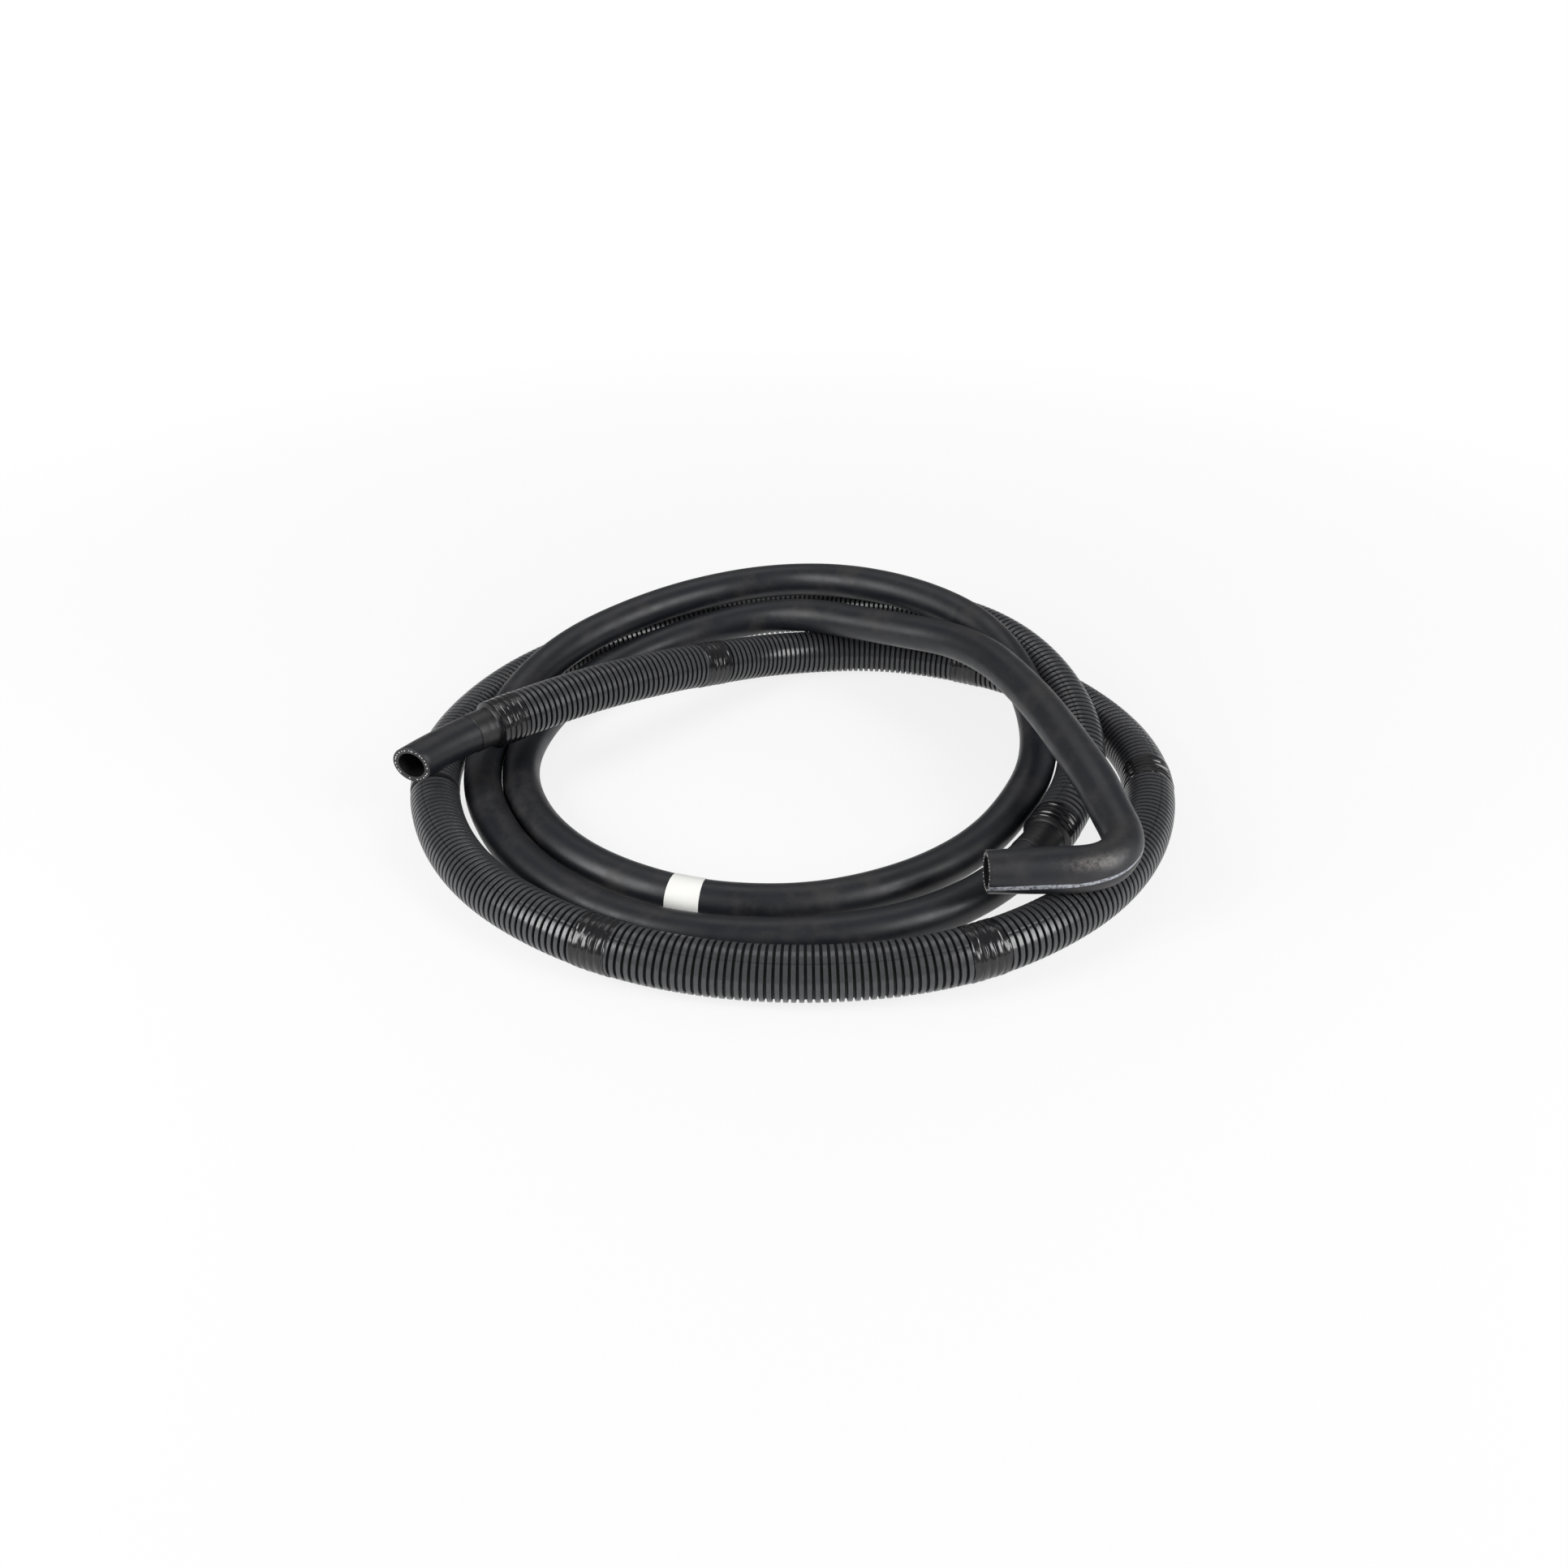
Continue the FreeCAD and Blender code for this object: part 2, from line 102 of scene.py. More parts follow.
def route_curve():
    """The smooth spline that has the route's points as its control points."""
    curve = bpy.data.curves.new("hose_route", "CURVE")
    curve.dimensions = "3D"
    curve.resolution_u = ROUTE_FINENESS
    spline = curve.splines.new("NURBS")
    points = route_points()
    spline.points.add(len(points) - 1)
    for target, point in zip(spline.points, points):
        target.co = (*point, 1.0)
    spline.order_u = 3
    spline.use_endpoint_u = True
    return bpy.data.objects.new("hose_route", curve)


def read_route():
    """Points along the spline, as it is drawn with no bevel."""
    carrier = route_curve()
    bpy.context.scene.collection.objects.link(carrier)
    bpy.context.view_layer.update()
    mesh = bpy.data.meshes.new_from_object(carrier)
    points = np.array([vertex.co for vertex in mesh.vertices])
    bpy.data.objects.remove(carrier)
    bpy.data.meshes.remove(mesh)
    return points


LINE = read_route()
ALONG = np.concatenate([[0.0], np.cumsum(np.linalg.norm(np.diff(LINE, axis=0), axis=1))]) / MM
LENGTH = ALONG[-1]


def route_at(distances):
    """Points of the route, in metres."""
    return np.stack([np.interp(distances, ALONG, LINE[:, axis]) for axis in range(3)], 1)


def frames(distances):
    """Points, directions, sides and upward normals at distances along the route."""
    distances = np.asarray(distances, float)
    point = route_at(distances)
    along = route_at(distances + DIRECTION_REACH) - route_at(distances - DIRECTION_REACH)
    along /= np.linalg.norm(along, axis=1)[:, None]
    side = np.cross(along, [0.0, 0.0, 1.0])
    side /= np.linalg.norm(side, axis=1)[:, None]
    normal = np.cross(side, along)
    return point, along, side, normal


# Meshes along the route.

def new_object(name, vertices, faces, material, facts=None, sharp=35.0):
    """A mesh piece on the root body. Facts are numbers at its vertices, which its material reads."""
    mesh = bpy.data.meshes.new(name)
    mesh.from_pydata(vertices.tolist(), [], faces)
    mesh.update()
    mesh.shade_smooth()
    mesh.set_sharp_from_angle(angle=math.radians(sharp))
    for word, values in (facts or {}).items():
        attribute = mesh.attributes.new(word, "FLOAT", "POINT")
        attribute.data.foreach_set("value", np.asarray(values, np.float32).ravel())
    piece = bpy.data.objects.new(name, mesh)
    bpy.context.scene.collection.objects.link(piece)
    mesh.materials.append(material)
    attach(piece, "root")
    return piece


def turned(name, distances, radii, angles, material, facts=None, sharp=35.0):
    """A closed skin of rings along the route, the last one joined to the first. Radii, angles and facts
    each have one number a vertex, or else one a ring (radii, facts) or one a place in the ring (angles)."""
    point, _, side, normal = frames(distances)
    angles = np.asarray(angles, float)
    if angles.ndim == 1:
        angles = np.tile(angles, (len(distances), 1))
    rings, count = angles.shape
    radii = per_vertex(radii, count)
    out = normal[:, None] * np.cos(angles)[..., None] + side[:, None] * np.sin(angles)[..., None]
    vertices = (point[:, None] + out * radii[..., None] * MM).reshape(-1, 3)
    faces = []
    around = np.arange(count)
    after = (around + 1) % count
    for ring in range(rings):
        here = ring * count
        there = (ring + 1) % rings * count
        faces += np.stack([here + around, here + after, there + after, there + around], 1).tolist()
    spread = {word: per_vertex(values, count) for word, values in (facts or {}).items()}
    return new_object(name, vertices, faces, material, spread, sharp)


def per_vertex(values, count):
    """Numbers that are one a ring, repeated for each vertex of the ring."""
    values = np.asarray(values, float)
    if values.ndim == 1:
        values = np.tile(values[:, None], (1, count))
    return values


def read_vertices(piece):
    return np.array([vertex.co for vertex in piece.data.vertices])


def move_vertices(piece, places):
    piece.data.vertices.foreach_set("co", places.astype(np.float32).ravel())
    piece.data.update()


def even_angles(count):
    return np.arange(count) * TURN / count


# The top of the range that a wave's random phase is drawn from, about one turn.
ANY_PHASE = 6.28


def ripple(positions, seed, waves):
    """A sum of slow sines, between about -1 and 1, that is the same on every run. Waves says the shortest
    and longest of them and how many there are."""
    shortest, longest, count = waves
    chance = np.random.default_rng(seed)
    total = np.zeros_like(np.asarray(positions, float))
    for _ in range(count):
        wave = chance.uniform(shortest, longest)
        total = total + np.sin(positions * TURN / wave + chance.uniform(0, ANY_PHASE)) / count ** 0.5
    return total


# Materials.

# Colours, as linear red, green and blue.
RUBBER_DARK = (0.0072, 0.0081, 0.0114)
RUBBER_PALE = (0.0118, 0.0130, 0.0174)
RUBBER_DUST = (0.052, 0.046, 0.042)
RUBBER_SPECK = (0.16, 0.155, 0.15)
# Lighter, warm colour on the elbow: partly a scuff, partly a painted highlight.
RUBBER_SCUFF_AND_HIGHLIGHT = (0.175, 0.158, 0.146)
# The pale line's colour: paint near mouth B, and a painted rim highlight further back.
LINE_PAINT_AND_RIM_HIGHLIGHT = (0.40, 0.42, 0.465)
CUT_DARK = (0.020, 0.020, 0.022)
CUT_PALE = (0.062, 0.062, 0.065)
BORE_DARK = (0.003, 0.003, 0.004)
BORE_PALE = (0.007, 0.007, 0.008)
YARN_DARK = (0.62, 0.61, 0.59)
YARN_PALE = (0.90, 0.89, 0.87)
# Painted shade: the near-black colour laid in the sleeves' grooves and bore, where shade falls.
GROOVE_SHADE = (0.003, 0.003, 0.0035)
CREST_DARK = (0.040, 0.041, 0.045)
CREST_PALE = (0.058, 0.059, 0.064)
CREST_SCUFF = (0.115, 0.113, 0.115)
TAPE_DARK = (0.005, 0.005, 0.006)
TAPE_PALE = (0.011, 0.011, 0.013)
MARKER_DARK = (0.88, 0.875, 0.84)
MARKER_PALE = (0.95, 0.945, 0.92)
MARKER_DIRT = (0.50, 0.49, 0.46)
FLOOR_PALE = (0.85, 0.85, 0.85)
WHITE = (1.0, 1.0, 1.0)

# The colour mix node's sockets for colours.
MIX_SHARE = 0
MIX_FIRST = 6
MIX_SECOND = 7
MIX_RESULT = 2


class Nodes:
    """A material's node tree, built by short calls. Their values are numbers, colours or sockets."""

    def __init__(self, name):
        self.material = bpy.data.materials.new(name)
        self.material.use_nodes = True
        self.tree = self.material.node_tree
        self.tree.nodes.clear()
        self.output = self.add("ShaderNodeOutputMaterial")

    def add(self, kind, **settings):
        node = self.tree.nodes.new(kind)
        for word, value in settings.items():
            setattr(node, word, value)
        return node

    def join(self, source, target):
        self.tree.links.new(source, target)

    def put(self, node, **values):
        """Fixed values for a node's inputs. An underscore stands for a space in an input's name."""
        for word, value in values.items():
            node.inputs[word.replace("_", " ")].default_value = value

    def feed(self, target, value):
        """A link from a socket, or else a fixed value."""
        if isinstance(value, bpy.types.NodeSocket):
            self.join(value, target)
        else:
            target.default_value = value

    def object_point(self):
        return self.add("ShaderNodeTexCoord").outputs["Object"]

    def fact(self, name):
        """The numbers that new_object stores at the vertices under this name."""
        return self.add("ShaderNodeAttribute", attribute_name=name).outputs["Fac"]

    def noise(self, scale, detail=3.0, roughness=0.55):
        """Noise through the piece's own space, its scale in patches a metre."""
        node = self.add("ShaderNodeTexNoise")
        self.put(node, Scale=scale, Detail=detail, Roughness=roughness)
        self.join(self.object_point(), node.inputs["Vector"])
        return node.outputs["Fac"]

    def span(self, value, low, high, out_low=0.0, out_high=1.0):
        """The range from low to high, carried to the range from out_low to out_high and held there."""
        node = self.add("ShaderNodeMapRange")
        self.join(value, node.inputs["Value"])
        self.put(node, From_Min=low, From_Max=high, To_Min=out_low, To_Max=out_high)
        return node.outputs["Result"]

    def math(self, operation, first, second=0.0):
        node = self.add("ShaderNodeMath", operation=operation)
        for target, value in zip(node.inputs, (first, second)):
            self.feed(target, value)
        return node.outputs[0]

    def blend(self, share, first, second):
        """A mix of two colours."""
        node = self.add("ShaderNodeMix", data_type="RGBA")
        self.feed(node.inputs[MIX_SHARE], share)
        for index, colour in ((MIX_FIRST, first), (MIX_SECOND, second)):
            if isinstance(colour, tuple):
                colour = (*colour, 1.0)
            self.feed(node.inputs[index], colour)
        return node.outputs[MIX_RESULT]

    def bump(self, height, strength, distance, normal=None):
        """A normal that follows a height, over another bump's normal if there is one."""
        node = self.add("ShaderNodeBump")
        self.put(node, Strength=strength, Distance=distance)
        self.join(height, node.inputs["Height"])
        if normal:
            self.join(normal, node.inputs["Normal"])
        return node.outputs["Normal"]

    def surface(self, colour, roughness, normal=None, specular=0.5):
        """The finished material."""
        shader = self.add("ShaderNodeBsdfPrincipled")
        self.join(colour, shader.inputs["Base Color"])
        self.feed(shader.inputs["Roughness"], roughness)
        if normal:
            self.join(normal, shader.inputs["Normal"])
        self.put(shader, Specular_IOR_Level=specular)
        self.join(shader.outputs[0], self.output.inputs["Surface"])
        return self.material


def line_paint_and_rim_highlight(n):
    """How much of the pale line is shown, as paint near mouth B and as a painted rim highlight further
    back: full at its middle, worn away in patches.
    """
    wear = n.span(n.noise(520.0, 5.0, 0.75), 0.36, 0.54)
    patchy = n.span(n.noise(75.0, 2.0, 0.5), 0.36, 0.50, 0.45, 1.0)
    inward = n.span(n.math("ABSOLUTE", n.fact("line_side")), 0.0, 1.0, 1.0, 0.0)
    line = n.math("MULTIPLY", inward, n.fact("line_face"))
    return n.math("MULTIPLY", n.span(line, 0.0, 0.28), n.math("MULTIPLY", wear, patchy))


def rubber_material():
    """Near-black satin rubber: dusty patches, fine pale specks, a worn pale line that turns into a painted
    rim highlight further back, and a scuffed elbow with a painted highlight.
    """
    n = Nodes("hose_rubber")
    colour = n.blend(n.noise(9.0), RUBBER_DARK, RUBBER_PALE)
    dust = n.span(n.noise(24.0, 5.0, 0.68), 0.50, 0.74)
    colour = n.blend(n.math("MULTIPLY", dust, 0.55), colour, RUBBER_DUST)
    specks = n.span(n.noise(900.0, 2.0, 0.5), 0.735, 0.80)
    colour = n.blend(n.math("MULTIPLY", specks, 0.5), colour, RUBBER_SPECK)
    # A painted highlight with some scuffing: the elbow's upper side turns lighter and warmer.
    pale_patch = n.math("MULTIPLY", n.fact("pale_patch"), n.span(n.noise(330.0, 5.0, 0.75), 0.38, 0.62))
    colour = n.blend(n.math("MULTIPLY", pale_patch, 0.85), colour, RUBBER_SCUFF_AND_HIGHLIGHT)
    # The pale line: paint near mouth B, and from about 100 mm back a faint painted rim highlight along the
    # contour.
    colour = n.blend(line_paint_and_rim_highlight(n), colour, LINE_PAINT_AND_RIM_HIGHLIGHT)
    rough = n.span(n.noise(60.0, 4.0, 0.6), 0.3, 0.75, 0.36, 0.50)
    rough = n.math("ADD", rough, n.math("MULTIPLY", dust, 0.14))
    grain = n.bump(n.noise(1500.0, 2.0, 0.5), 0.10, 0.0003)
    normal = n.bump(n.noise(120.0, 3.0, 0.5), 0.12, 0.001, grain)
    return n.surface(colour, rough, normal)


def cut_rubber_material():
    """The rough matt rubber of the cut faces."""
    n = Nodes("cut_rubber")
    colour = n.blend(n.noise(700.0, 4.0, 0.7), CUT_DARK, CUT_PALE)
    normal = n.bump(n.noise(1100.0, 4.0, 0.7), 0.5, 0.0006)
    return n.surface(colour, 0.7, normal, specular=0.3)


def bore_material():
    """Dark smooth rubber inside."""
    n = Nodes("bore_rubber")
    colour = n.blend(n.noise(90.0, 3.0), BORE_DARK, BORE_PALE)
    normal = n.bump(n.noise(400.0, 3.0, 0.6), 0.2, 0.0006)
    return n.surface(colour, 0.6, normal, specular=0.25)


def yarn_material():
    """Pale woven thread."""
    n = Nodes("yarn_ends")
    colour = n.blend(n.noise(2600.0, 2.0, 0.5), YARN_DARK, YARN_PALE)
    return n.surface(colour, 0.75)


def sleeve_material():
    """Charcoal plastic: mid-grey glossy crests, with near-black shade painted in the grooves."""
    n = Nodes("sleeve_plastic")
    crest = n.fact("crest")
    top = n.blend(n.noise(45.0, 4.0, 0.6), CREST_DARK, CREST_PALE)
    pale_patch = n.span(n.noise(260.0, 5.0, 0.7), 0.58, 0.74)
    top = n.blend(n.math("MULTIPLY", pale_patch, 0.35), top, CREST_SCUFF)
    # Painted shade: the colour darkens to near-black down in the grooves, where shade falls.
    colour = n.blend(n.math("POWER", crest, 1.6), GROOVE_SHADE, top)
    rough = n.span(n.noise(330.0, 4.0, 0.6), 0.3, 0.7, 0.20, 0.32)
    rough = n.math("ADD", rough, n.math("MULTIPLY", n.math("SUBTRACT", 1.0, crest), 0.45))
    normal = n.bump(n.noise(900.0, 3.0, 0.5), 0.08, 0.0003)
    return n.surface(colour, rough, normal, specular=0.6)


def tape_material():
    """Black vinyl tape: glossy where it is creased, and matt where it lies smooth on the hose."""
    n = Nodes("tape_gloss")
    colour = n.blend(n.noise(70.0, 3.0), TAPE_DARK, TAPE_PALE)
    rough = n.span(n.noise(200.0, 4.0, 0.6), 0.3, 0.75, 0.15, 0.26)
    rough = n.math("ADD", rough, n.span(n.fact("creased"), 0.06, 0.35, 0.24, 0.0))
    stretch = n.bump(n.noise(190.0, 3.0, 0.5), 0.06, 0.0005)
    return n.surface(colour, rough, stretch, specular=0.6)


def marker_material():
    """Off-white band with a little dirt."""
    n = Nodes("marker_white")
    colour = n.blend(n.noise(60.0, 3.0), MARKER_DARK, MARKER_PALE)
    dirt = n.span(n.noise(240.0, 5.0, 0.7), 0.62, 0.84)
    colour = n.blend(n.math("MULTIPLY", dirt, 0.25), colour, MARKER_DIRT)
    normal = n.bump(n.noise(350.0, 3.0, 0.5), 0.08, 0.0004)
    return n.surface(colour, 0.5, normal)


RUBBER = rubber_material()
CUT_RUBBER = cut_rubber_material()
BORE_RUBBER = bore_material()
YARN = yarn_material()
SLEEVE = sleeve_material()
TAPE = tape_material()
MARKER = marker_material()


# The hose.

HOSE_RADIUS = 13.5
BORE_RADIUS = 9.5
HOSE_SIDES = 64
RING_STEP = 5.0
ELBOW_START = LENGTH - 175.0
ELBOW_RINGS = 90
# How far the outside wanders in and out, in which waves, and their seed.
UNEVEN = 0.10
UNEVEN_WAVES = (60.0, 240.0, 7)
UNEVEN_SEED = 3
# The mouths' outer edges are a little rounded: distance from the mouth, and how far in the outside is.
ROUNDED_EDGE = [(0.0, 0.30), (0.14, 0.09), (0.35, 0.0)]
# The piece's further materials, after the rubber outside.
CUT_SLOT = 1
BORE_SLOT = 2

# Mouth A is cut a little askew: the way its face looks, and how far the slant of the cut carries.
CUT_NORMAL = (-0.292, -0.956, 0.001)
CUT_REACH = 30.0

# The hose has gone oval where it turns to end B. Distance back from mouth B, then two shares: one that
# makes it taller and narrower, and one that leans its long side back.
OVAL = [
    (0.0, 0.0, 0.0), (20.0, 0.02, 0.03), (45.0, 0.045, 0.075), (75.0, 0.05, 0.06), (100.0, 0.04, 0.0),
    (125.0, -0.02, 0.0), (155.0, -0.06, 0.0), (200.0, -0.05, 0.0), (260.0, 0.0, 0.0),
]
# The worn pale line along the hose at end B: paint near the mouth, and from about 100 mm back a faint
# painted rim highlight along the hose's contour. Distance back, its angle round the hose, half its width in
# radians. It is painted no narrower than the least half width, its paint thins out over the width divided
# by the share, and it ends where it would be all but gone. The far side of the hose, where the cosine of
# the angle from the line is less than that named here, has none.
PALE_LINE = [
    (0.0, -1.82, 0.110), (30.0, -1.77, 0.100), (54.0, -1.76, 0.075), (67.0, -1.62, 0.070),
    (80.0, -1.53, 0.050), (90.0, -1.45, 0.035), (100.0, -1.36, 0.03), (200.0, -1.30, 0.022),
    (330.0, -1.30, 0.0),
]
LINE_LEAST_HALF = 0.02
LINE_GONE_HALF = 0.004
LINE_SHARE = 0.72
LINE_SIDE_COSINE = 0.5
# A lighter, warm patch on the elbow's upper side, partly a scuff and partly a painted highlight: distance
# back, angle, and how far it reaches each way.
SCUFF_AND_HIGHLIGHT = (64.0, -0.68, 15.0, 0.30)


def columns(rows):
    """Rows of numbers as one array a column."""
    return [np.array(column) for column in zip(*rows)]


def lean_cut(vertices, distances):
    """Vertices near mouth A move along the hose, those at the mouth into the plane of its slanting cut."""
    centre, along, _, _ = (value[0] for value in frames([0.0]))
    looks = np.array(CUT_NORMAL)
    offset = vertices - centre
    offset = offset - np.outer(offset @ along, along)
    share = np.clip(1.0 - np.asarray(distances) / CUT_REACH, 0.0, 1.0)[:, None]
    return vertices - np.outer(offset @ looks / (looks @ along), along) * share


def oval_radii(distances, angles, radii):
    """One radius a vertex: round, and oval near the elbow."""
    back, upright, leaning = columns(OVAL)
    behind = LENGTH - np.asarray(distances)
    upright = np.interp(behind, back, upright)[:, None]
    leaning = np.interp(behind, back, leaning)[:, None]
    shape = 1.0 + upright * np.cos(2 * angles) + leaning * np.sin(2 * angles)
    return np.asarray(radii)[:, None] * shape


def pale_line(distances, angles):
    """How far a vertex is from the line's middle, and 1 where the line can show."""
    back, middle, half = columns(PALE_LINE)
    behind = LENGTH - np.asarray(distances)
    gap = angles[None] - np.interp(behind, back, middle)[:, None]
    half = np.interp(behind, back, half)[:, None]
    wide = np.maximum(half, LINE_LEAST_HALF)
    shown = (np.cos(gap) > LINE_SIDE_COSINE) * (half > LINE_GONE_HALF)
    return np.sin(gap) / wide * LINE_SHARE, shown


def scuff_and_highlight_share(distances, angles):
    """How much of the elbow's lighter patch, partly scuff and partly painted highlight, a vertex has: 1 at
    its middle, fading out around it.
    """
    back, middle, reach, wide = SCUFF_AND_HIGHLIGHT
    behind = LENGTH - np.asarray(distances)
    gap = (angles[None] - middle + math.pi) % TURN - math.pi
    return np.exp(-((behind - back) / reach)[:, None] ** 2 - (gap / wide) ** 2)


def hose_rings():
    """Distances and radii of the rings, outside first and then back through the bore, and the number of
    them that are outside."""
    plain = np.arange(0.0, ELBOW_START, RING_STEP)
    run = np.concatenate([plain, np.linspace(ELBOW_START, LENGTH, ELBOW_RINGS)])
    edge, inward = columns(ROUNDED_EDGE)
    outside = np.concatenate([edge, run[1:-1], LENGTH - edge[::-1]])
    radii = HOSE_RADIUS + UNEVEN * ripple(outside, UNEVEN_SEED, UNEVEN_WAVES)
    radii[:len(edge)] -= inward
    radii[-len(edge):] -= inward[::-1]
    bore = np.full(len(run), BORE_RADIUS)
    return np.concatenate([outside, run[::-1]]), np.concatenate([radii, bore]), len(outside)


def inside_materials(piece, rings, sides, first_bore):
    """The faces at the cuts and in the bore take materials of their own."""
    piece.data.materials.append(CUT_RUBBER)
    piece.data.materials.append(BORE_RUBBER)
    for polygon in piece.data.polygons:
        ring = polygon.index // sides
        if ring in (first_bore - 1, rings - 1):
            polygon.material_index = CUT_SLOT
        elif ring >= first_bore:
            polygon.material_index = BORE_SLOT


def hose_piece():
    """The whole tube, outside and bore, with cut faces at both mouths."""
    distances, radii, first_bore = hose_rings()
    angles = even_angles(HOSE_SIDES)
    side, face = pale_line(distances, angles)
    facts = {"line_side": side, "line_face": face, "pale_patch": scuff_and_highlight_share(distances, angles)}
    radii = oval_radii(distances, angles, radii)
    piece = turned("hose_tube", distances, radii, angles, RUBBER, facts=facts, sharp=50.0)
    move_vertices(piece, lean_cut(read_vertices(piece), np.repeat(distances, HOSE_SIDES)))
    inside_materials(piece, len(distances), HOSE_SIDES, first_bore)
    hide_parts("hose")


# The reinforcing yarn: how many ends a cut shows, the share that is missing, and where in the wall it is.
YARN_ENDS = 28
YARN_MISSING = 0.12
YARN_RADIUS = 11.65
# How far an end lies from its place, as a share of their spacing and in and out, and how large it is.
YARN_ASIDE = 0.28
YARN_INWARD = 0.22
YARN_WIDTHS = (0.34, 0.72)
YARN_HEIGHTS = (0.28, 0.42)
YARN_SIDES = 10
# Levels of one yarn end: height over the cut face, and share of its width.
YARN_LEVELS = [(-0.2, 1.0), (0.10, 1.0), (0.22, 0.6)]


def yarn_faces(base):
    """Side faces, top and bottom of the yarn end whose vertices start at base."""
    faces = []
    for level in range(len(YARN_LEVELS) - 1):
        low = base + level * YARN_SIDES
        high = low + YARN_SIDES
        for step in range(YARN_SIDES):
            after = (step + 1) % YARN_SIDES
            faces.append([low + step, low + after, high + after, high + step])
    top = base + (len(YARN_LEVELS) - 1) * YARN_SIDES
    faces.append([top + step for step in range(YARN_SIDES)])
    faces.append([base + step for step in reversed(range(YARN_SIDES))])
    return faces


def yarn_ends(name, distance, outward, seed):
    """Short pale ends of the reinforcing yarn, a little proud of the cut face. Outward is -1 at mouth A and
    1 at mouth B."""
    chance = np.random.default_rng(seed)
    point, along, side, normal = (value[0] for value in frames([distance]))
    vertices = []
    faces = []
    for number in range(YARN_ENDS):
        if chance.random() < YARN_MISSING:
            continue
        angle = (number + chance.uniform(-YARN_ASIDE, YARN_ASIDE)) * TURN / YARN_ENDS
        radius = YARN_RADIUS + chance.uniform(-YARN_INWARD, YARN_INWARD)
        wide = chance.uniform(*YARN_WIDTHS)
        tall = chance.uniform(*YARN_HEIGHTS)
        out = normal * math.cos(angle) + side * math.sin(angle)
        tangent = np.cross(along, out)
        centre = point + out * radius * MM
        faces += yarn_faces(len(vertices))
        for height, share in YARN_LEVELS:
            for turn in even_angles(YARN_SIDES):
                offset = tangent * math.cos(turn) * wide * share + out * math.sin(turn) * tall * share
                vertices.append(centre + (offset + along * outward * height) * MM)
    vertices = np.array(vertices)
    if distance == 0.0:
        vertices = lean_cut(vertices, np.zeros(len(vertices)))
    piece = new_object(name, vertices, faces, YARN)


# The guard sleeves.

# Distances of each sleeve's start and end.
SLEEVE_A = (70.5, 1418.0)
SLEEVE_B = (1423.0, 2289.0)
CREST_RADIUS = 17.25
RIB_DEPTH = 2.0
RIB_PITCH = 4.6
SLEEVE_BORE = 14.2
# One rib: share of the pitch, share of the depth.
RIB = [
    (0.00, 0.0), (0.13, 0.0), (0.165, 0.45), (0.19, 0.85), (0.225, 1.0), (0.775, 1.0), (0.81, 0.85),
    (0.835, 0.45), (0.87, 0.0),
]
# The sleeve is slit along its length: the lips meet, with a fine line between them. Angles by the slit,
# which of them are the line, its depth, and its share of the crest's colour, the rest being the grooves'
# painted shade.
SLIT_ANGLES = [-0.10, -0.045, -0.012, 0.012, 0.045, 0.10]
SLIT_LINE = slice(2, 4)
SLIT_DEPTH = 0.22
SLIT_CREST = 0.6
# The rest of a ring starts and ends this far from the slit.
RING_REACH = 0.22
RING_SIDES = 42
# How far the slit wanders round the hose, in radians, and in which waves.
SLIT_DRIFT = 0.25
SLIT_WAVES = (300.0, 900.0, 4)


def rib_count(sleeve):
    """How many ribs fit at about the usual pitch."""
    start, end = sleeve
    return round((end - start) / RIB_PITCH)


def rib_pitch(sleeve):
    """The sleeve's own pitch, which gives it whole ribs."""
    start, end = sleeve
    return (end - start) / rib_count(sleeve)


def rib_height(distances, sleeve):
    """Share of the ribs' height at distances along a sleeve."""
    phase = (np.asarray(distances) - sleeve[0]) / rib_pitch(sleeve) % 1.0
    shares, heights = columns(RIB + [(1.0, 0.0)])
    return np.interp(phase, shares, heights)


def sleeve_rings(sleeve):
    """Distances of a sleeve's outer rings, and the share of the ribs' height at each."""
    start, end = sleeve
    pitch = rib_pitch(sleeve)
    marks = []
    heights = []
    for number in range(rib_count(sleeve)):
        for share, height in RIB:
            marks.append(start + (number + share) * pitch)
            heights.append(height)
    marks.append(end)
    heights.append(0.0)
    return np.array(marks), np.array(heights)


def sleeve_piece(name, node, sleeve, seam, seed):
    """Ribbed conduit with a bore, and a seam at an angle round the hose that drifts a little."""
    start, end = sleeve
    pitch = rib_pitch(sleeve)
    marks, heights = sleeve_rings(sleeve)
    ring = np.concatenate([SLIT_ANGLES, np.linspace(RING_REACH, TURN - RING_REACH, RING_SIDES)])
    drift = seam + SLIT_DRIFT * ripple(marks, seed, SLIT_WAVES)
    angles = ring[None] + drift[:, None]
    crest = per_vertex(heights, len(ring))
    radii = CREST_RADIUS - RIB_DEPTH + crest * RIB_DEPTH
    radii[:, SLIT_LINE] -= SLIT_DEPTH
    crest[:, SLIT_LINE] *= SLIT_CREST
    # The bore follows the route too, in steps of a rib.
    inner = np.arange(end - pitch, start + pitch / 2, -pitch)
    at = np.searchsorted(marks, inner)
    bore = np.full((len(inner) + 2, len(ring)), SLEEVE_BORE)
    skin_marks = np.concatenate([marks, [end], inner, [start]])
    skin_angles = np.concatenate([angles, angles[[-1]], angles[at], angles[[0]]])
    skin_radii = np.concatenate([radii, bore])
    # The bore takes no crest share, so it is painted with the grooves' near-black shade.
    facts = {"crest": np.concatenate([crest, np.zeros_like(bore)])}
    piece = turned(name, skin_marks, skin_radii, skin_angles, SLEEVE, facts=facts, sharp=40.0)
    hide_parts(node)


# Tapes and the marker band.

